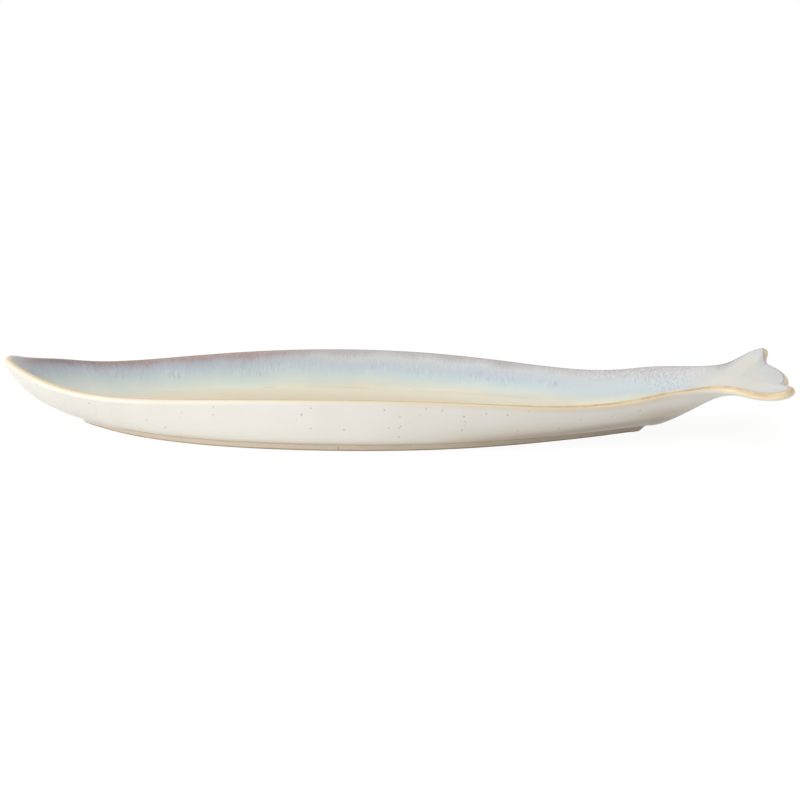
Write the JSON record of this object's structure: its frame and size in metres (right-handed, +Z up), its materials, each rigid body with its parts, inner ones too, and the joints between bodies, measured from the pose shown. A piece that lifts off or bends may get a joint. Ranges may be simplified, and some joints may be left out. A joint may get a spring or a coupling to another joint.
{
  "type": "fish shaped serving platter",
  "caption": "Shallow fish shaped serving platter in glazed stoneware, with a raised nose and tail and a pointed oval foot ring.",
  "frame": {"origin": "on the table, under the middle of the platter's length and width", "axes": "+X towards the tail, -X towards the nose, +Z up out of the dish"},
  "size_m": [0.603, 0.211, 0.0517],
  "materials": {
    "bare_stoneware": "unglazed fired stoneware, fine and matt",
    "dish_glaze": "glossy reactive glaze, brown mauve at the rim through grey blue and pale green to cream in the dish",
    "outside_glaze": "glossy cream white glaze with sparse brown specks"
  },
  "bodies": {
    "root": {"clay_body": "bare_stoneware", "foot_ring": "bare_stoneware", "dish_glaze_coat": "dish_glaze", "outside_glaze_coat": "outside_glaze", "base_glaze_coat": "outside_glaze"}
  },
  "joints": []
}
